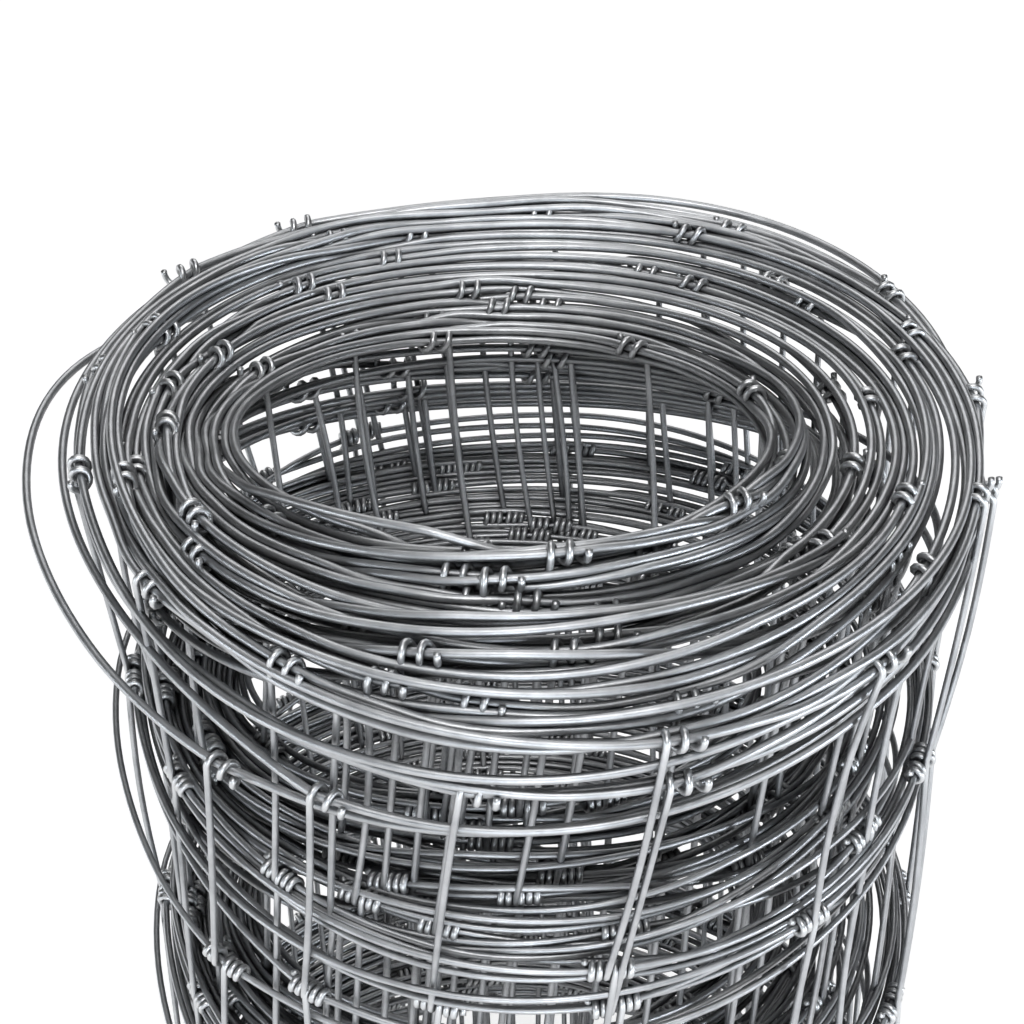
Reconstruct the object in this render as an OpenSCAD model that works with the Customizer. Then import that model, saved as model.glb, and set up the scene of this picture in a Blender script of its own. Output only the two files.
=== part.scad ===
// Roll of hinge-joint field fence, standing on its end.
// The many laps of wire mesh are one turned solid with its bore. Each lap's edge wire shows as
// a ring on both ends, and the line wires of the outer laps stand out of the wall, row by row.
// Millimetres, +Z up the roll's axis, origin at the centre of the end that it stands on.

/* [Fence] */
// Length of fence in the roll
fence_len = 30000; // [10000:500:40000]
// Height of the fence, from edge wire to edge wire
fence_h = 800; // [600:10:1200]
// Number of line wires, the two edge wires included
line_wires = 8; // [5:1:10]
// Gap between line wires at the close-meshed edge, which is the upper end
tight_gap = 90; // [50:1:110]
// Diameter of the two edge wires
edge_wire_d = 2.8; // [2:0.1:4]
// Diameter of the other line wires
mesh_wire_d = 2.2; // [1.5:0.1:3]

/* [Roll] */
// Diameter of the bore
bore_d = 150; // [120:1:170]
// Outside diameter of the roll between its ends
body_d = 264; // [250:1:295]
// Outside diameter over the edge wires, which spread a little at both ends
edge_d = 300; // [285:1:340]
// How far the innermost lap has crept up past the outermost one at the upper end
creep = 20; // [0:1:40]
// Number of outer laps whose line wires show on the wall
shown_laps = 5; // [1:1:8]
// How far each of those laps has slipped down past the next one in
lap_slip = 4; // [2.5:0.5:6]
// Depth of the flat that each lap bears on at the lower end
seat_flat = 0.15; // [0.1:0.05:0.4]

/* [Hidden] */
$fn = 64;
galvanised = [0.62, 0.64, 0.66];

// Laps, counted from the bore outwards
edge_wire_r = edge_wire_d / 2;
mean_lap = PI * (bore_d + edge_d) / 2;
laps = round(fence_len / mean_lap);
inner_lap_r = bore_d / 2 + edge_wire_r;
outer_lap_r = edge_d / 2 - edge_wire_r;
lap_pitch = (outer_lap_r - inner_lap_r) / (laps - 1);
function lap_r(i) = inner_lap_r + i * lap_pitch;

// Height of the lower edge wire, and of lap i's upper one: the inner laps have crept up
foot_z = edge_wire_r - seat_flat;
function lap_top_z(i) = foot_z + fence_h + creep * (1 - pow(i / (laps - 1), 2));

// Line wires of the outermost lap, counted down from the upper end. The gaps widen downwards.
gaps = line_wires - 1;
gap_step = 2 * (fence_h / gaps - tight_gap) / (gaps - 1);
body_wire_r = (body_d - mesh_wire_d) / 2;
function line_wire_z(k) = foot_z + fence_h - k * tight_gap - gap_step * k * (k - 1) / 2;
// Line wire k of a lap on the wall, where lap 0 is the outermost
function wall_wire(k, lap) = [body_wire_r - lap * lap_pitch, line_wire_z(k) + lap * lap_slip];

// Half section of the wound laps. Its outline runs through the centres of the wires that show.
module lap_section() {
    wall = [for (k = [gaps - 1:-1:1]) for (lap = [0:shown_laps - 1]) wall_wire(k, lap)];
    foot = [[bore_d / 2, foot_z], [outer_lap_r, foot_z]];
    crown = [for (i = [laps - 1:-1:0]) [lap_r(i), lap_top_z(i)]];
    polygon(concat(foot, wall, crown, [[bore_d / 2, lap_top_z(0)]]));
    for (i = [0:laps - 1]) {
        translate([lap_r(i), foot_z]) circle(d = edge_wire_d);
        translate([lap_r(i), lap_top_z(i)]) circle(d = edge_wire_d);
    }
    for (k = [1:gaps - 1]) for (lap = [0:shown_laps - 1])
        translate(wall_wire(k, lap)) circle(d = mesh_wire_d);
}

// All laps, turned about the axis and level underneath
module wound_laps() {
    rotate_extrude()
        difference() {
            lap_section();
            translate([0, -edge_wire_d]) square([edge_d, edge_wire_d]);
        }
}

// The roll: one length of knotted mesh
module fence_roll() {
    color(galvanised) wound_laps();
}

fence_roll();
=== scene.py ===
"""Winds a roll of galvanised hinge-joint field fence out of its wires, round the turned solid."""

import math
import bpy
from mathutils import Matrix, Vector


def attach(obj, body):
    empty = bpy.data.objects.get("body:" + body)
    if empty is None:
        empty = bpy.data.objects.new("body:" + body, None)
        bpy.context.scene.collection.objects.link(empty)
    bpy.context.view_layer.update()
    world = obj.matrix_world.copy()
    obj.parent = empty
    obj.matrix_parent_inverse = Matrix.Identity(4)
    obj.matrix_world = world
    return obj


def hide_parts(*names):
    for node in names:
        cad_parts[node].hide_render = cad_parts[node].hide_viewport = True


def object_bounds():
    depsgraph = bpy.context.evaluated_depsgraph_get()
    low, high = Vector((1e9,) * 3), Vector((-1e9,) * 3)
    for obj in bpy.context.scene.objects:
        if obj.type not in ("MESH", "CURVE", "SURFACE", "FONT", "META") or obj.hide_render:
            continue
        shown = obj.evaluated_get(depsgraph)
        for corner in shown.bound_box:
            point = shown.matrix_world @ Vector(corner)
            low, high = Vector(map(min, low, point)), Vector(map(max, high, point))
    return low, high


bl_info = {
    "name": "Field Fence Roll",
    "version": (1, 0, 0),
    "blender": (4, 5, 0),
    "location": "View3D > Sidebar > Fence Roll",
    "description": "Winds a roll of hinge-joint field fence from its line wires and stays",
    "category": "Add Mesh",
}

import bpy
import numpy as np

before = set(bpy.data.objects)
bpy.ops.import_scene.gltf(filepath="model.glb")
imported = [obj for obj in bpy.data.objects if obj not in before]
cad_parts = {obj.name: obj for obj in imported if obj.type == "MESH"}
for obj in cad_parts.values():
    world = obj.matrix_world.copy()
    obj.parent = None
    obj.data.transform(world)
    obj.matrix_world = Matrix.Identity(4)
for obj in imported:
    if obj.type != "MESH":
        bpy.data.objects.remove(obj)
CAD_LOW, CAD_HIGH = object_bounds()
ROLL_NODE = "fence_roll"
BODY = "root"
WIRE_MATERIAL = "Galvanised wire"
# Mask of the joint turns, where the zinc is brighter: partly rubbed, partly painted sheen
RUB_AND_SHEEN_MASK = "rubbed_and_sheen"
TURN = 2 * math.pi
UP = np.array([0.0, 0.0, 1.0])


# Sizes and colours that a user would change


class FenceSizes(bpy.types.PropertyGroup):
    """Sizes of the fence as it comes off the loom."""

    edge_wire: bpy.props.FloatProperty(
        name="Edge wire",
        description="Diameter of the uppermost and the lowest wire",
        default=0.0028, min=0.001, max=0.006, precision=4, unit="LENGTH",
    )
    mesh_wire: bpy.props.FloatProperty(
        name="Mesh wire",
        description="Diameter of the other line wires and of the stays",
        default=0.0022, min=0.001, max=0.006, precision=4, unit="LENGTH",
    )
    line_wires: bpy.props.IntProperty(
        name="Line wires",
        description="Number of line wires, the two edge wires included",
        default=8, min=5, max=10,
    )
    tight_gap: bpy.props.FloatProperty(
        name="Tight gap",
        description="Gap between the two uppermost line wires",
        default=0.090, min=0.05, max=0.11, precision=3, unit="LENGTH",
    )
    stay_pitch: bpy.props.FloatProperty(
        name="Stay pitch",
        description="Distance from stay to stay along the fence",
        default=0.300, min=0.1, max=0.6, precision=3, unit="LENGTH",
    )
    edge_wrap_pitch: bpy.props.FloatProperty(
        name="Edge wrap pitch",
        description="Distance between a stay's turns round an edge wire",
        default=0.0053, min=0.002, max=0.01, precision=4, unit="LENGTH",
    )
    edge_wraps: bpy.props.FloatProperty(
        name="Edge wraps",
        description="Turns that the end of a stay makes round an edge wire",
        default=2.1, min=1.0, max=4.0,
    )
    line_wraps: bpy.props.FloatProperty(
        name="Line wraps",
        description="Turns that the end of a stay makes round a line wire between the edges",
        default=2.7, min=1.0, max=4.0,
    )


class RollShape(bpy.types.PropertyGroup):
    """How the fence is wound."""

    tight_laps: bpy.props.IntProperty(
        name="Tight laps",
        description="Laps that lie close to each other",
        default=38, min=10, max=60,
    )
    loose_laps: bpy.props.IntProperty(
        name="Loose laps",
        description="Outer laps that have sprung away from the rest",
        default=6, min=0, max=8,
    )
    bore_radius: bpy.props.FloatProperty(
        name="Bore radius",
        description="Radius of the innermost lap",
        default=0.083, min=0.06, max=0.1, precision=3, unit="LENGTH",
    )
    edge_radius: bpy.props.FloatProperty(
        name="Edge radius",
        description="Radius of the outermost tight lap at the roll's ends",
        default=0.139, min=0.12, max=0.16, precision=3, unit="LENGTH",
    )
    waist_radius: bpy.props.FloatProperty(
        name="Waist radius",
        description="Radius of the outermost tight lap between the ends",
        default=0.128, min=0.11, max=0.16, precision=3, unit="LENGTH",
    )
    bore_shift: bpy.props.FloatProperty(
        name="Bore shift",
        description="How far the innermost lap lies to the right of the roll's axis",
        default=-0.0056, min=-0.02, max=0.02, precision=4, unit="LENGTH",
    )
    bulk_shift: bpy.props.FloatProperty(
        name="Bulk shift",
        description="How far the outermost tight lap lies to the right of the roll's axis",
        default=0.009, min=-0.02, max=0.02, precision=4, unit="LENGTH",
    )
    lean: bpy.props.FloatProperty(
        name="Lean",
        description="How far the stays lean along the fence, as a share of their length",
        default=0.14, min=-0.5, max=0.5,
    )
    seed: bpy.props.IntProperty(
        name="Seed",
        description="Number that the roll's unevenness is drawn from",
        default=7, min=0,
    )


class WireFinish(bpy.types.PropertyGroup):
    """Colours of the zinc coat."""

    zinc: bpy.props.FloatVectorProperty(
        name="Zinc", description="Colour of the zinc coat",
        default=(0.62, 0.63, 0.645), size=3, min=0.0, max=1.0, subtype="COLOR",
    )
    dull_zinc: bpy.props.FloatVectorProperty(
        name="Dull zinc", description="Colour of the zinc coat where it has weathered",
        default=(0.48, 0.49, 0.505), size=3, min=0.0, max=1.0, subtype="COLOR",
    )
    # Brighter zinc on the joint turns: partly rubbed by the loom, partly painted sheen
    rubbed_and_sheen_zinc: bpy.props.FloatVectorProperty(
        name="Rubbed zinc", description="Colour of the zinc coat where the loom has bent the wire",
        default=(0.74, 0.75, 0.76), size=3, min=0.0, max=1.0, subtype="COLOR",
    )
    roughness: bpy.props.FloatProperty(
        name="Roughness", description="Roughness of the zinc coat",
        default=0.46, min=0.05, max=1.0, subtype="FACTOR",
    )
    rubbed_roughness: bpy.props.FloatProperty(
        name="Rubbed roughness", description="Roughness of the zinc coat where the loom has bent the wire",
        default=0.44, min=0.05, max=1.0, subtype="FACTOR",
    )


# Winding of the fence

# Room that the laps' rise takes above the uppermost wire of a level lap, and that wire's height
TOP_ROOM = 0.0225
TOP_Z = CAD_HIGH.z - TOP_ROOM
# Room under the lowest wire for the turns round it, in diameters of a stay
FOOT_ROOM = 1.15
# How the upper end's rise and fall dies away downwards
SLIP_FADE = 2.4
# How fast the spread at the roll's ends dies away from row to row
FLARE_FADE = 0.28
# How far down the stays have made most of their lean
LEAN_REACH = 0.35
# Direction in which the innermost lap begins, counted from the front to the right
START_ANGLE = math.radians(25)
# Rise of the uppermost wires at the front and at the back, from the bore outwards
TILT_SHARES = (0.0, 0.85, 1.0)
FRONT_RISE = (0.014, -0.003, -0.014)
BACK_RISE = (-0.013, 0.012, 0.017)
# Groups of laps that have sunk: laps from group to group, first lap, and which part of each wave sinks
GROUP_LAPS = 4.6
FIRST_GROUP = 8.0
SINK_START = 0.10
SINK_FULL = 0.45
# Share of the roll in which they lie, and how fast they fade in and out there
SINK_BEGIN = 0.16
SINK_END = 0.90
SINK_FADE = 0.05
# Depth of the first one, how much deeper the last one lies, and how much deeper all lie outwards
SINK_FIRST = 0.002
SINK_SPAN = 0.029
SINK_SLOPE = 0.059
# How much of that depth shows at the front, and how fast it grows to the back
SINK_FRONT = 0.06
SINK_POWER = 0.85
# Share of a sunk lap's room that the others take
CROWDING = 0.85
# How far the rows below the uppermost one sag at the back, from the bore outwards
SAG_SHARES = (0.0, 0.85, 1.0)
SAG = (0.002, 0.004, -0.012)
# Where the outer laps bulge outwards: direction, half width and reach
BULGES = (
    (math.radians(-125), math.radians(60), 0.009),
    (math.radians(125), math.radians(60), 0.004),
)
# How much less the inner laps bulge than the outer ones, as a power of their share of the roll
BULGE_POWER = 1.5
# How far the loose laps have slipped down at the front
LOOSE_DROP = 0.046
# Loops in which the loose laps stand away: direction, half width, reach and how much the last one leads
LOOPS = (
    (math.radians(-105), math.radians(75), 0.024, 1.0),
    (math.radians(136), math.radians(58), 0.032, 2.0),
)
# Share of those loops that is left from row to row
LOOP_FADE = 0.35
# How straight the loose laps run between their joints, where 1 is a straight line
KINK = 0.11
# How far both ends of the fence have slipped down, and over how many laps
END_DROP = 0.030
END_LAPS = 0.16
# Unevenness that all rows share: size, waves round the roll, and change from lap to lap
SHARED_RADIUS = 0.0018
SHARED_HEIGHT = 0.0040
SHARED_WAVES = 2
RADIUS_DRIFT = 0.4
HEIGHT_DRIFT = 0.5
# Waves of each length that add up to it
WAVES_EACH = 3
# How much calmer the back is
BACK_CALM = 0.86
# How far a lap drops in between its neighbours, and the height of wave at which it is fully in
NESTING = 0.0040
NESTED = 1.5
# Unevenness that each row has for itself
OWN_RADIUS = 0.0009
OWN_HEIGHT = 0.0012
OWN_WAVES = 4
OWN_DRIFT = 0.35
# Single laps that stray from their neighbours: number, laps left out at both ends, sizes and lengths
STRAYS = 60
STRAY_MARGIN = 2
STRAY_RADIUS = 0.0015
STRAY_HEIGHT = 0.0032
STRAY_LAPS = (0.08, 0.25)
# Share of the last lap that the fence does not reach
CUT = 0.5
# Laps on either side that push a wire away, how hard, how hard it is drawn back, and how often
NEIGHBOURS = 6
PUSH = 0.45
PULL = 0.012
SETTLING_ROUNDS = 90
# Points along the wire that a settling move is spread over, and the least distance that is divided by
SETTLING_POINTS = 15
LEAST_GAP = 1e-9
# Points a lap at which the length of the fence is measured
MEASURED_POINTS = 200
# Half width of a hinge joint along the line wire, and the room that it takes beside the wire
JOINT_REACH = 0.0055
JOINT_ROOM = 0.0006


def foot_height(sizes):
    """Height of the lowest wire, which the joints round it lift off the floor."""
    return sizes.edge_wire / 2 + FOOT_ROOM * sizes.mesh_wire


def row_heights(sizes):
    """Heights of the line wires from the top down, with gaps that widen downwards."""
    gaps = sizes.line_wires - 1
    step = 2 * ((TOP_Z - foot_height(sizes)) / gaps - sizes.tight_gap) / (gaps - 1)
    return [TOP_Z - k * sizes.tight_gap - step * k * (k - 1) / 2 for k in range(sizes.line_wires)]


def backness(angle):
    """How far round to the back a direction points, from 0 at the front to 1."""
    return (1 - np.cos(angle)) / 2


def crown(share, angle):
    """Rise and fall of the upper end: the laps have slipped past each other and lie tilted."""
    front = np.interp(share, TILT_SHARES, FRONT_RISE)
    back = np.interp(share, TILT_SHARES, BACK_RISE)
    return front + (back - front) * backness(angle)


def sunk_group(lap, share):
    """Whether a lap belongs to one of the groups that have sunk, from 0 to 1."""
    wave = np.sin(TURN * (lap - FIRST_GROUP) / GROUP_LAPS)
    group = np.clip((wave - SINK_START) / (SINK_FULL - SINK_START), 0, 1)
    inside = np.clip((share - SINK_BEGIN) / SINK_FADE, 0, 1)
    return group * inside * np.clip((SINK_END - share) / SINK_FADE, 0, 1)


def sunk(group, part, angle):
    """How far the groups of laps that have sunk lie below the others, each lap below the one before."""
    order = np.cumsum(group) / group.sum()
    depth = SINK_FIRST + SINK_SPAN * order + SINK_SLOPE * part
    seen = SINK_FRONT + (1 - SINK_FRONT) * backness(angle) ** SINK_POWER
    return depth * group * seen


def turned(angle, direction):
    """Angle from a direction, between minus and plus half a turn."""
    return (angle - direction + math.pi) % TURN - math.pi


def bump(offset, width):
    """Smooth hump of height one that is gone at the given half width."""
    return np.cos(np.clip(offset / width, -1, 1) * math.pi / 2) ** 2


def uneven(rng, lap, angle, waves, drift):
    """Slow waves round the roll, of about unit size, that change from lap to lap."""
    total = np.zeros_like(lap)
    power = 0.0
    for wave in range(1, waves + 1):
        for _ in range(WAVES_EACH):
            phase = rng.uniform(0, TURN)
            slip = rng.uniform(-drift, drift)
            total += np.cos(wave * angle + TURN * slip * lap + phase) / wave
            power += 0.5 / wave**2
    return total / math.sqrt(power)


def settle(radius, height, girth, laps):
    """Push the laps apart where they would cut through each other, keeping each wire smooth."""
    steps = len(radius) // laps
    kernel = np.hanning(SETTLING_POINTS)[1:-1]
    kernel /= kernel.sum()
    spot = np.stack([radius, height])
    aim = spot.copy()
    size = girth.reshape(laps, steps)
    for _ in range(SETTLING_ROUNDS):
        grid = spot.reshape(2, laps, steps)
        move = np.zeros_like(grid)
        for away in range(1, min(NEIGHBOURS, laps - 1) + 1):
            apart = grid[:, away:] - grid[:, :-away]
            gap = np.sqrt((apart**2).sum(axis=0)) + LEAST_GAP
            want = size[away:] + size[:-away]
            shove = PUSH * np.maximum(0.0, want - gap) / gap * apart
            move[:, away:] += shove
            move[:, :-away] -= shove
        flat = move.reshape(2, -1) + PULL * (aim - spot)
        spot = spot + np.stack([np.convolve(part, kernel, mode="same") for part in flat])
    return spot


class Winding:
    """The wound fence: where each row's line wire runs, and where the stays sit along it."""

    def __init__(self, sizes, shape):
        self.sizes = sizes
        self.shape = shape
        self.laps = shape.tight_laps + shape.loose_laps
        self.heights = row_heights(sizes)
        self.stay_laps = self.place_stays()

    def share(self, lap):
        """How far out a lap lies in the tight part, from 0 at the bore to 1."""
        return np.clip(lap / self.shape.tight_laps, 0, 1)

    def back_share(self, lap):
        """How far out a lap lies at the back, where sunk laps leave most of their room to the others."""
        room = 1 - CROWDING * sunk_group(lap, self.share(lap))
        return np.cumsum(room) / room.sum()

    def loose(self, lap):
        """How far a lap lies in the loose part, from 0 to 1."""
        return np.clip((lap - self.shape.tight_laps) / max(self.shape.loose_laps, 1), 0, 1)

    def angle(self, lap):
        """Direction of a point from the front to the right. The fence runs clockwise outwards."""
        return START_ANGLE - TURN * lap

    def outer_radius(self, row):
        """Radius of the outermost tight lap in a row: the roll is waisted between its ends."""
        end = min(abs(row), abs(row - self.sizes.line_wires + 1))
        flare = (self.shape.edge_radius - self.shape.waist_radius) * FLARE_FADE**end
        return self.shape.waist_radius + flare

    def place_stays(self):
        """Laps at which the stays sit, at equal distances along the fence."""
        lap = np.linspace(0, self.laps - CUT, self.laps * MEASURED_POINTS)
        mean = self.shape.bore_radius + (self.shape.edge_radius - self.shape.bore_radius) * lap / self.laps
        length = np.concatenate([[0], np.cumsum(TURN * mean[1:] * np.diff(lap))])
        count = int(length[-1] / self.sizes.stay_pitch)
        first = (length[-1] - (count - 1) * self.sizes.stay_pitch) / 2
        spots = first + np.arange(count) * self.sizes.stay_pitch
        return np.interp(spots, length, lap)

    def lean_laps(self, row):
        """How many laps a row lies further along the fence than the uppermost row."""
        drop = self.heights[0] - self.heights[row]
        slack = drop * math.exp(-drop / LEAN_REACH)
        return self.shape.lean * slack / (TURN * self.shape.waist_radius)

    def joints(self, row):
        """Laps at which a row's joints sit."""
        return self.stay_laps + self.lean_laps(row)

    def chord(self, lap, row):
        """Share of the radius that is left on a straight line from joint to joint."""
        joint = self.joints(row)
        after = np.clip(np.searchsorted(joint, lap), 1, len(joint) - 1)
        half = TURN * (joint[after] - joint[after - 1]) / 2
        middle = (joint[after] + joint[after - 1]) / 2
        return np.cos(half) / np.cos(np.clip(TURN * (lap - middle), -half, half))

    def wound(self, lap, row, slip):
        """Radius and height of a row's wire as it is wound, before it is uneven."""
        shape = self.shape
        angle = self.angle(lap)
        share = self.share(lap)
        part = share + (self.back_share(lap) - share) * backness(angle)
        radius = shape.bore_radius + (self.outer_radius(row) - shape.bore_radius) * part
        shift = shape.bore_shift + (shape.bulk_shift - shape.bore_shift) * share
        drop = LOOSE_DROP * self.loose(lap) * (1 - backness(angle))
        drop = drop + sunk(sunk_group(lap, share), part, angle)
        if row > 0:
            drop = drop + np.interp(part, SAG_SHARES, SAG) * backness(angle) ** 2
        height = self.heights[row] + slip * (crown(part, angle) - drop)
        return radius + shift * np.sin(angle), height

    def roughen(self, radius, height, lap, row, slip):
        """Add the unevenness that all rows share, the laps that stray, and the row's own."""
        angle = self.angle(lap)
        free = 1 - BACK_CALM * backness(angle)
        rng = np.random.default_rng(self.shape.seed)
        radius = radius + SHARED_RADIUS * free * uneven(rng, lap, angle, SHARED_WAVES, RADIUS_DRIFT)
        height = height + slip * SHARED_HEIGHT * free * uneven(rng, lap, angle, SHARED_WAVES, HEIGHT_DRIFT)
        nested = np.clip(uneven(rng, lap, angle, SHARED_WAVES, HEIGHT_DRIFT), 0, NESTED)
        height = height - slip * NESTING * free * nested
        for _ in range(STRAYS):
            middle = rng.uniform(STRAY_MARGIN, self.laps - STRAY_MARGIN)
            stray = bump(lap - middle, rng.uniform(*STRAY_LAPS))
            radius = radius + STRAY_RADIUS * free * rng.normal() * stray
            height = height + slip * STRAY_HEIGHT * free * rng.normal() * stray
        own = np.random.default_rng([self.shape.seed, row])
        radius = radius + OWN_RADIUS * free * uneven(own, lap, angle, OWN_WAVES, OWN_DRIFT)
        height = height + OWN_HEIGHT * free * uneven(own, lap, angle, OWN_WAVES, OWN_DRIFT)
        return radius, height

    def spring(self, radius, lap, row, slip):
        """Let the outer laps bulge, stand away in loops and run straighter between their joints."""
        angle = self.angle(lap)
        loose = self.loose(lap)
        for direction, width, reach in BULGES:
            bulge = self.share(lap) ** BULGE_POWER * bump(turned(angle, direction), width)
            radius = radius + slip**2 * reach * bulge
        for direction, width, reach, lead in LOOPS:
            stand = loose**lead * bump(turned(angle, direction), width) * LOOP_FADE**row
            radius = radius + reach * stand
        return radius * (1 - KINK * loose * (1 - self.chord(lap, row)))

    def girth(self, radius, lap, row):
        """Half the room that a row's wire takes, which is wider at its joints."""
        plain = self.wire_size(row) / 2
        near = np.abs(lap[:, None] - self.joints(row)[None, :]).min(axis=1) * TURN * radius
        return np.where(near < JOINT_REACH, plain + JOINT_ROOM, plain)

    def wire(self, row, steps):
        """Path of a row's line wire from the bore outwards, one point a step."""
        lap = np.arange(self.laps * steps) / steps
        angle = self.angle(lap)
        slip = 1 - (row / (self.sizes.line_wires - 1)) ** SLIP_FADE
        radius, height = self.wound(lap, row, slip)
        radius, height = self.roughen(radius, height, lap, row, slip)
        radius = self.spring(radius, lap, row, slip)
        ends = np.clip(np.minimum(lap, self.laps - CUT - lap), 0, None) / END_LAPS
        height = height - slip * END_DROP * bump(ends, 1.0)
        radius, height = settle(radius, height, self.girth(radius, lap, row), self.laps)
        height = np.maximum(height, foot_height(self.sizes))
        path = np.stack([radius * np.sin(angle), -radius * np.cos(angle), height], axis=1)
        return path[: int((self.laps - CUT) * steps)]

    def wire_size(self, row):
        """Diameter of a row's line wire."""
        at_edge = row in (0, self.sizes.line_wires - 1)
        return self.sizes.edge_wire if at_edge else self.sizes.mesh_wire


# Meshes of round wire

# Level part of a wire's direction below which the wire counts as upright
UPRIGHT = 0.1


def unit(vectors):
    """Vectors scaled to length one."""
    return vectors / np.linalg.norm(vectors, axis=-1, keepdims=True)


def sweep(paths, diameter, sides):
    """Points and faces of round wire along paths that all have the same number of points."""
    count, points, _ = paths.shape
    ahead = unit(np.gradient(paths, axis=1))
    side = np.empty_like(paths)
    start = np.cross(ahead[:, 0], UP)
    flat = np.linalg.norm(start, axis=1, keepdims=True) < UPRIGHT
    start = np.where(flat, np.cross(ahead[:, 0], np.array([1.0, 0.0, 0.0])), start)
    side[:, 0] = unit(start)
    for i in range(1, points):
        carried = side[:, i - 1]
        carried = carried - (carried * ahead[:, i]).sum(axis=1, keepdims=True) * ahead[:, i]
        side[:, i] = unit(carried)
    other = np.cross(ahead, side)
    turn = np.arange(sides) * TURN / sides
    ring = side[:, :, None] * np.cos(turn)[:, None] + other[:, :, None] * np.sin(turn)[:, None]
    places = (paths[:, :, None] + diameter / 2 * ring).reshape(-1, 3)
    first = (np.arange(count) * points * sides)[:, None, None]
    row = (np.arange(points - 1) * sides)[None, :, None]
    here = np.arange(sides)[None, None, :]
    right = (here + 1) % sides
    base = first + row
    corners = [base + here, base + right, base + sides + right, base + sides + here]
    quads = np.stack(corners, axis=-1).reshape(-1, 4)
    caps = []
    for start_at in range(0, count * points * sides, points * sides):
        end_at = start_at + (points - 1) * sides
        caps.append(list(range(start_at + sides - 1, start_at - 1, -1)))
        caps.append(list(range(end_at, end_at + sides)))
    return places, quads.tolist() + caps


def add_wire_piece(name, paths, diameter, sides, rubbed_and_sheen=None):
    """A piece made of one or more round wires, which stands for the turned roll."""
    places, faces = sweep(paths, diameter, sides)
    mesh = bpy.data.meshes.new(name)
    mesh.from_pydata(places.tolist(), [], faces)
    mesh.validate()
    mesh.shade_smooth()
    mesh.materials.append(galvanised_material(bpy.context.scene.wire_finish))
    # The joint turns are marked for brighter zinc, partly rubbed and partly painted sheen
    if rubbed_and_sheen is not None:
        mask = mesh.attributes.new(RUB_AND_SHEEN_MASK, "FLOAT", "POINT")
        mask.data.foreach_set("value", np.tile(np.repeat(rubbed_and_sheen, sides), len(paths)).astype(np.float32))
    piece = bpy.data.objects.new(name, mesh)
    bpy.context.scene.collection.objects.link(piece)
    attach(piece, BODY)
    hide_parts(ROLL_NODE)
    return piece


# Stays and their hinge joints

# How much wider the turns round an edge wire are than the wire itself
EDGE_SLACK = 1.12
# Distance from turn to turn round the other line wires, and of the first turn from the stay, in wires
LINE_WRAP_PITCH = 1.06
LINE_WRAP_START = 0.55
# How much of the way from turn to turn is made on one side of the line wire, and where that side is
CROSSING = 0.75
CROSSING_SIDE = math.radians(50)
# How far the tail of the last turn stands off, and how long it is in turns
TAIL_LIFT = 0.35
TAIL_TURNS = 0.3
# Number that sets the stays' draws apart, how far they stray along the fence in laps, and their bow
STAY_SEED = 100
STAY_STRAY = 0.0008
STAY_BOW = 0.0012


def along(path, steps, laps):
    """Points and forward directions on a line wire at the given laps."""
    spot = np.clip(laps * steps, 0, len(path) - 1)
    low = np.minimum(spot.astype(int), len(path) - 2)
    part = (spot - low)[:, None]
    point = path[low] * (1 - part) + path[low + 1] * part
    return point, unit(path[low + 1] - path[low])


def wrap(centre, ahead, climb, radius, pitch, way, turns, points):
    """Turns of a stay's end round its line wire, starting on the outside of the roll."""
    rise = unit(UP * climb - (UP * climb * ahead).sum(axis=1, keepdims=True) * ahead)
    out = np.cross(ahead, rise)
    outward = centre * np.array([1.0, 1.0, 0.0])
    out = out * np.sign((out * outward).sum(axis=1, keepdims=True))
    turn = np.linspace(0, TURN * turns, points)
    wave = np.sin(turn - CROSSING_SIDE) + math.sin(CROSSING_SIDE)
    shift = way * pitch * (turn - CROSSING * wave) / TURN
    tail = np.clip(turn / TURN - turns + TAIL_TURNS, 0, 1) / TAIL_TURNS
    reach = radius * (1 + TAIL_LIFT * tail**2)
    circle = out[:, None] * np.cos(turn)[None, :, None] + rise[:, None] * np.sin(turn)[None, :, None]
    return centre[:, None] + reach[None, :, None] * circle + ahead[:, None] * shift[None, :, None]


def stay_paths(winding, row, upper, lower, turn_points, straight_points):
    """Paths of the stays between two rows, from the lower joint up, and where their turns are brighter
    zinc, partly rubbed and partly painted sheen.
    """
    sizes = winding.sizes
    rng = np.random.default_rng([winding.shape.seed, STAY_SEED + row])
    laps = winding.stay_laps + rng.normal(0, STAY_STRAY, len(winding.stay_laps))
    top, top_ahead = along(upper[0], upper[1], laps + winding.lean_laps(row))
    foot, foot_ahead = along(lower[0], lower[1], laps + winding.lean_laps(row + 1))
    last = sizes.line_wires - 2

    def joint(centre, ahead, line, climb, way, edge):
        radius = (winding.wire_size(line) + sizes.mesh_wire) / 2
        if edge:
            points = int(turn_points * sizes.edge_wraps)
            radius = radius * EDGE_SLACK
            return wrap(centre, ahead, climb, radius, sizes.edge_wrap_pitch, way, sizes.edge_wraps, points)
        points = int(turn_points * sizes.line_wraps)
        pitch = sizes.mesh_wire * LINE_WRAP_PITCH
        start = centre + ahead * way * sizes.mesh_wire * LINE_WRAP_START
        return wrap(start, ahead, climb, radius, pitch, way, sizes.line_wraps, points)

    head = joint(top, top_ahead, row, 1.0, -1.0, row == 0)
    tail = joint(foot, foot_ahead, row + 1, -1.0, 1.0, row == last)[:, ::-1]
    part = np.linspace(0, 1, straight_points + 2)[1:-1][None, :, None]
    straight = tail[:, -1:] * (1 - part) + head[:, :1] * part
    bow = rng.normal(0, STAY_BOW, (len(laps), 1, 3))
    straight = straight + bow * np.sin(math.pi * part)
    rubbed_and_sheen = np.concatenate([np.ones(tail.shape[1]), np.zeros(straight_points), np.ones(head.shape[1])])
    return np.concatenate([tail, straight, head], axis=1), rubbed_and_sheen


# Finish of the wire

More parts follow.
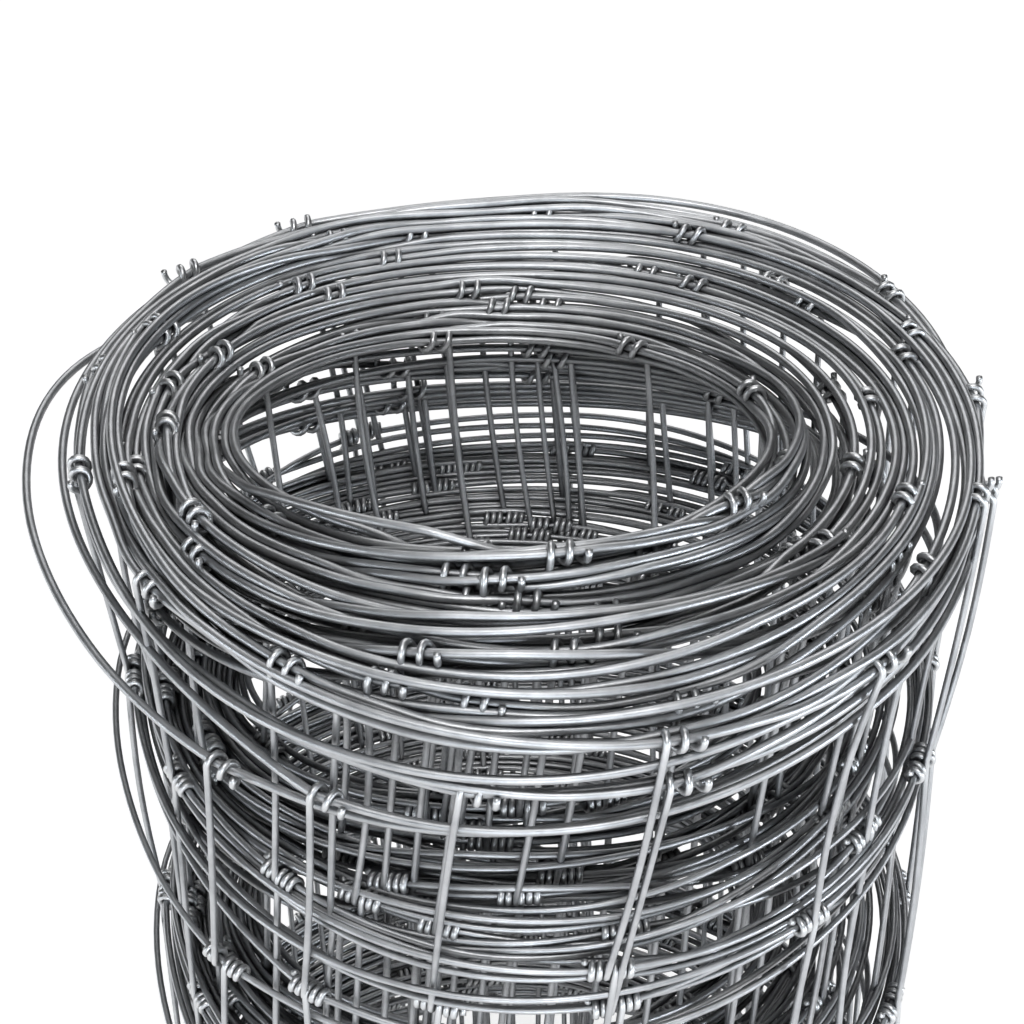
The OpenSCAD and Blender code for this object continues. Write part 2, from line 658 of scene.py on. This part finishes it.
# Patches in the zinc coat and its drawn grain: size, detail, roughness and the part of each that shows
PATCH_SCALE = 90.0
PATCH_DETAIL = 3.0
PATCH_ROUGHNESS = 0.6
PATCH_RANGE = (0.35, 0.65)
GRAIN_SCALE = 1400.0
GRAIN_DETAIL = 4.0
GRAIN_ROUGHNESS = 0.7
GRAIN_RANGE = (0.3, 0.7)
# How much the grain changes the roughness, and how deep it is
GLOSS_SPREAD = 0.08
GRAIN_STRENGTH = 0.25
GRAIN_DEPTH = 0.0001
# Painted shade: zinc that lies deep in the roll or between wires is painted darker from ambient occlusion.
# How far off other wires still count, rays that look for them, the open share of those rays from the
# darkest painted shade to the plain zinc, and the colour left there
PAINTED_SHADE_REACH = 0.25
PAINTED_SHADE_SAMPLES = 2
PAINTED_SHADE_RANGE = (0.08, 0.60)
PAINTED_SHADE_DARKEST_SHARE = 0.18


def zinc_mottle_group():
    """Node group for the uneven zinc coat: a patchiness mask and a fine drawn grain."""
    group = bpy.data.node_groups.new("Zinc Mottle", "ShaderNodeTree")
    for name in ("Patch Scale", "Grain Scale"):
        group.interface.new_socket(name=name, in_out="INPUT", socket_type="NodeSocketFloat")
    for name in ("Patches", "Grain"):
        group.interface.new_socket(name=name, in_out="OUTPUT", socket_type="NodeSocketFloat")
    nodes = group.nodes
    links = group.links
    enter = nodes.new("NodeGroupInput")
    leave = nodes.new("NodeGroupOutput")
    place = nodes.new("ShaderNodeTexCoord")
    patches = nodes.new("ShaderNodeTexNoise")
    patches.inputs["Detail"].default_value = PATCH_DETAIL
    patches.inputs["Roughness"].default_value = PATCH_ROUGHNESS
    grain = nodes.new("ShaderNodeTexNoise")
    grain.inputs["Detail"].default_value = GRAIN_DETAIL
    grain.inputs["Roughness"].default_value = GRAIN_ROUGHNESS
    links.new(place.outputs["Object"], patches.inputs["Vector"])
    links.new(place.outputs["Object"], grain.inputs["Vector"])
    links.new(enter.outputs["Patch Scale"], patches.inputs["Scale"])
    links.new(enter.outputs["Grain Scale"], grain.inputs["Scale"])
    links.new(patches.outputs["Fac"], leave.inputs["Patches"])
    links.new(grain.outputs["Fac"], leave.inputs["Grain"])
    return group


def range_node(nodes, source, target):
    """Node that brings values from one range to another."""
    node = nodes.new("ShaderNodeMapRange")
    for name, value in zip(("From Min", "From Max", "To Min", "To Max"), (*source, *target)):
        node.inputs[name].default_value = value
    return node


def colour_node(nodes, blend):
    """Node that mixes two colours."""
    node = nodes.new("ShaderNodeMix")
    node.data_type = "RGBA"
    node.blend_type = blend
    node.inputs["Factor"].default_value = 1.0
    return node


def galvanised_material(finish):
    """Satin zinc on drawn steel wire. Painted shade darkens it inside the roll and between wires, and it
    is brighter where the loom has bent it, partly rubbed and partly painted sheen.
    """
    material = bpy.data.materials.get(WIRE_MATERIAL)
    if material:
        return material
    material = bpy.data.materials.new(WIRE_MATERIAL)
    material.use_nodes = True
    nodes = material.node_tree.nodes
    links = material.node_tree.links
    shader = nodes["Principled BSDF"]
    shader.inputs["Metallic"].default_value = 1.0
    coat = nodes.new("ShaderNodeGroup")
    coat.node_tree = zinc_mottle_group()
    coat.inputs["Patch Scale"].default_value = PATCH_SCALE
    coat.inputs["Grain Scale"].default_value = GRAIN_SCALE
    mask = nodes.new("ShaderNodeAttribute")
    mask.attribute_name = RUB_AND_SHEEN_MASK

    # Patchy zinc, brighter on the joint turns: partly rubbed by the loom, partly painted sheen
    patchy = range_node(nodes, PATCH_RANGE, (0.0, 1.0))
    weathered = colour_node(nodes, "MIX")
    weathered.inputs["A"].default_value = (*finish.dull_zinc, 1.0)
    weathered.inputs["B"].default_value = (*finish.zinc, 1.0)
    colour = colour_node(nodes, "MIX")
    colour.inputs["B"].default_value = (*finish.rubbed_and_sheen_zinc, 1.0)
    links.new(coat.outputs["Patches"], patchy.inputs["Value"])
    links.new(patchy.outputs["Result"], weathered.inputs["Factor"])
    links.new(mask.outputs["Fac"], colour.inputs["Factor"])
    links.new(weathered.outputs["Result"], colour.inputs["A"])

    # Painted shade: the zinc is darkened from ambient occlusion where other wires are near
    painted_shade = nodes.new("ShaderNodeAmbientOcclusion")
    painted_shade.samples = PAINTED_SHADE_SAMPLES
    painted_shade.inputs["Distance"].default_value = PAINTED_SHADE_REACH
    left = range_node(nodes, PAINTED_SHADE_RANGE, (PAINTED_SHADE_DARKEST_SHARE, 1.0))
    shaded = colour_node(nodes, "MULTIPLY")
    links.new(painted_shade.outputs["AO"], left.inputs["Value"])
    links.new(colour.outputs["Result"], shaded.inputs["A"])
    links.new(left.outputs["Result"], shaded.inputs["B"])
    links.new(shaded.outputs["Result"], shader.inputs["Base Color"])

    # Satin gloss, broken up by the drawn grain
    satin = range_node(nodes, (0.0, 1.0), (finish.roughness, finish.rubbed_roughness))
    grainy = range_node(nodes, GRAIN_RANGE, (GLOSS_SPREAD, -GLOSS_SPREAD))
    rough = nodes.new("ShaderNodeMath")
    drawn = nodes.new("ShaderNodeBump")
    drawn.inputs["Strength"].default_value = GRAIN_STRENGTH
    drawn.inputs["Distance"].default_value = GRAIN_DEPTH
    links.new(mask.outputs["Fac"], satin.inputs["Value"])
    links.new(coat.outputs["Grain"], grainy.inputs["Value"])
    links.new(satin.outputs["Result"], rough.inputs[0])
    links.new(grainy.outputs["Result"], rough.inputs[1])
    links.new(rough.outputs["Value"], shader.inputs["Roughness"])
    links.new(coat.outputs["Grain"], drawn.inputs["Height"])
    links.new(drawn.outputs["Normal"], shader.inputs["Normal"])
    return material


# Steps that lay out the roll

# Points a lap and sides of the line wires, from the top down. The rows below are plainer.
FINE_WIRES = ((192, 10), (144, 10), (112, 8))
PLAIN_WIRE = (64, 6)
# Points a turn, points of the straight stretch and sides of the stays, from the top down
FINE_STAYS = ((14, 9, 8), (12, 7, 8))
PLAIN_STAY = (7, 4, 5)


def wire_detail(row):
    """Points a lap and sides of a row's line wire."""
    return FINE_WIRES[row] if row < len(FINE_WIRES) else PLAIN_WIRE


def stay_detail(row):
    """Points a turn, points of the straight stretch and sides of a row's stays."""
    return FINE_STAYS[row] if row < len(FINE_STAYS) else PLAIN_STAY


def wind_wire(winding, row, name):
    """Add a row's line wire."""
    steps, sides = wire_detail(row)
    add_wire_piece(name, winding.wire(row, steps)[None], winding.wire_size(row), sides)


class FENCE_OT_wind_edge_wires(bpy.types.Operator):
    """Wind the uppermost and the lowest wire"""

    bl_idname = "fence.wind_edge_wires"
    bl_label = "Wind Edge Wires"

    def execute(self, context):
        scene = context.scene
        winding = Winding(scene.fence_sizes, scene.roll_shape)
        wind_wire(winding, 0, "upper_edge_wire")
        wind_wire(winding, scene.fence_sizes.line_wires - 1, "lower_edge_wire")
        return {"FINISHED"}


class FENCE_OT_wind_line_wires(bpy.types.Operator):
    """Wind the line wires between the edges"""

    bl_idname = "fence.wind_line_wires"
    bl_label = "Wind Line Wires"

    def execute(self, context):
        scene = context.scene
        winding = Winding(scene.fence_sizes, scene.roll_shape)
        for row in range(1, scene.fence_sizes.line_wires - 1):
            wind_wire(winding, row, f"line_wire_{row}")
        return {"FINISHED"}


class FENCE_OT_knot_stays(bpy.types.Operator):
    """Knot the upright stays round the line wires, row by row"""

    bl_idname = "fence.knot_stays"
    bl_label = "Knot Stays"

    def execute(self, context):
        scene = context.scene
        sizes = scene.fence_sizes
        winding = Winding(sizes, scene.roll_shape)
        lines = []
        for row in range(sizes.line_wires):
            steps, _ = wire_detail(row)
            lines.append((winding.wire(row, steps), steps))
        for row in range(sizes.line_wires - 1):
            turn_points, straight_points, sides = stay_detail(row)
            upper = lines[row]
            lower = lines[row + 1]
            stays, rubbed_and_sheen = stay_paths(winding, row, upper, lower, turn_points, straight_points)
            add_wire_piece(f"stays_{row + 1}", stays, sizes.mesh_wire, sides, rubbed_and_sheen)
        return {"FINISHED"}


# Stage

# Camera of the main view, and the floor
CAMERA_PLACE = (0.0, -0.695, 1.219)
CAMERA_PITCH = math.radians(32.8)
CAMERA_LENS = 91.3
SENSOR = 36.0
CLIP_START = 0.01
FLOOR_SPAN = 60.0
FLOOR_ROUGHNESS = 0.9
FLOOR_COLOUR = (0.95, 0.95, 0.95, 1.0)
# Share of white that the floor shows to the camera and in the metal beside what the lamps give it
FLOOR_GLOW = 0.38
AMBIENT = 0.015
# Soft lamps: name, strength, direction, spread and colour
NEUTRAL = (1.0, 1.0, 1.0)
COOL = (0.86, 0.93, 1.0)
LAMPS = (
    ("Front key", 1.5, (0.0, -0.5, 0.866), math.radians(24), NEUTRAL),
    ("Overhead", 0.2, (0.0, 0.1, 0.99), math.radians(30), NEUTRAL),
    ("Front fill", 1.6, (0.0, -1.0, 0.03), math.radians(16), COOL),
    ("Left fill", 0.9, (-0.9, -0.42, 0.0), math.radians(16), COOL),
    ("Right fill", 2.3, (0.9, -0.42, 0.0), math.radians(16), COOL),
    ("Back fill", 0.7, (0.0, 0.7, 0.714), math.radians(40), NEUTRAL),
)


class FENCE_OT_set_stage(bpy.types.Operator):
    """Add the floor, the soft studio lamps and the camera"""

    bl_idname = "fence.set_stage"
    bl_label = "Set Stage"

    def execute(self, context):
        scene = context.scene
        scene.view_settings.view_transform = "Standard"
        world = bpy.data.worlds.new("Studio")
        world.use_nodes = True
        ambient = world.node_tree.nodes["Background"]
        ambient.inputs["Color"].default_value = (1.0, 1.0, 1.0, 1.0)
        ambient.inputs["Strength"].default_value = AMBIENT
        scene.world = world

        bpy.ops.mesh.primitive_plane_add(size=FLOOR_SPAN)
        floor = context.object
        floor.name = "floor"
        floor.data.materials.append(self.floor_material())

        for lamp in LAMPS:
            self.soft_lamp(*lamp)

        camera = bpy.data.cameras.new("Camera")
        camera.sensor_width = SENSOR
        camera.sensor_fit = "HORIZONTAL"
        camera.lens = CAMERA_LENS
        camera.clip_start = CLIP_START
        eye = bpy.data.objects.new("Camera", camera)
        eye.location = CAMERA_PLACE
        eye.rotation_euler = (math.pi / 2 - CAMERA_PITCH, 0, 0)
        scene.collection.objects.link(eye)
        scene.camera = eye
        return {"FINISHED"}

    def floor_material(self):
        """White floor. It glows a little for the camera and in the metal, and keeps its shadow."""
        material = bpy.data.materials.new("White floor")
        material.use_nodes = True
        nodes = material.node_tree.nodes
        links = material.node_tree.links
        shader = nodes["Principled BSDF"]
        shader.inputs["Base Color"].default_value = FLOOR_COLOUR
        shader.inputs["Roughness"].default_value = FLOOR_ROUGHNESS
        shader.inputs["Specular IOR Level"].default_value = 0.0
        shader.inputs["Emission Color"].default_value = (1.0, 1.0, 1.0, 1.0)
        path = nodes.new("ShaderNodeLightPath")
        seen = nodes.new("ShaderNodeMath")
        seen.operation = "MAXIMUM"
        shown = nodes.new("ShaderNodeMath")
        shown.operation = "MAXIMUM"
        glow = nodes.new("ShaderNodeMath")
        glow.operation = "MULTIPLY"
        glow.inputs[1].default_value = FLOOR_GLOW
        links.new(path.outputs["Is Camera Ray"], seen.inputs[0])
        links.new(path.outputs["Is Glossy Ray"], seen.inputs[1])
        links.new(seen.outputs["Value"], shown.inputs[0])
        links.new(path.outputs["Is Transmission Ray"], shown.inputs[1])
        links.new(shown.outputs["Value"], glow.inputs[0])
        links.new(glow.outputs["Value"], shader.inputs["Emission Strength"])
        return material

    def soft_lamp(self, name, strength, towards, spread, colour):
        """Soft light from a direction, as from a wide lamp."""
        data = bpy.data.lights.new(name, "SUN")
        data.energy = strength
        data.angle = spread
        data.color = colour
        lamp = bpy.data.objects.new(name, data)
        lamp.rotation_euler = Vector(towards).to_track_quat("Z", "Y").to_euler()
        bpy.context.scene.collection.objects.link(lamp)


class FENCE_PT_panel(bpy.types.Panel):
    """Sizes, finish and steps of the fence roll"""

    bl_idname = "FENCE_PT_panel"
    bl_label = "Fence Roll"
    bl_space_type = "VIEW_3D"
    bl_region_type = "UI"
    bl_category = "Fence Roll"

    def draw(self, context):
        layout = self.layout
        for group in (context.scene.fence_sizes, context.scene.roll_shape, context.scene.wire_finish):
            box = layout.box()
            for name in group.__annotations__:
                box.prop(group, name)
        layout.operator(FENCE_OT_wind_edge_wires.bl_idname)
        layout.operator(FENCE_OT_wind_line_wires.bl_idname)
        layout.operator(FENCE_OT_knot_stays.bl_idname)
        layout.operator(FENCE_OT_set_stage.bl_idname)


CLASSES = (
    FenceSizes,
    RollShape,
    WireFinish,
    FENCE_OT_wind_edge_wires,
    FENCE_OT_wind_line_wires,
    FENCE_OT_knot_stays,
    FENCE_OT_set_stage,
    FENCE_PT_panel,
)


def register():
    for cls in CLASSES:
        bpy.utils.register_class(cls)
    bpy.types.Scene.fence_sizes = bpy.props.PointerProperty(type=FenceSizes)
    bpy.types.Scene.roll_shape = bpy.props.PointerProperty(type=RollShape)
    bpy.types.Scene.wire_finish = bpy.props.PointerProperty(type=WireFinish)


def unregister():
    del bpy.types.Scene.wire_finish
    del bpy.types.Scene.roll_shape
    del bpy.types.Scene.fence_sizes
    for cls in reversed(CLASSES):
        bpy.utils.unregister_class(cls)


def main():
    register()
    bpy.ops.fence.wind_edge_wires()
    bpy.ops.fence.wind_line_wires()
    bpy.ops.fence.knot_stays()
    bpy.ops.fence.set_stage()


if __name__ == "__main__":
    main()
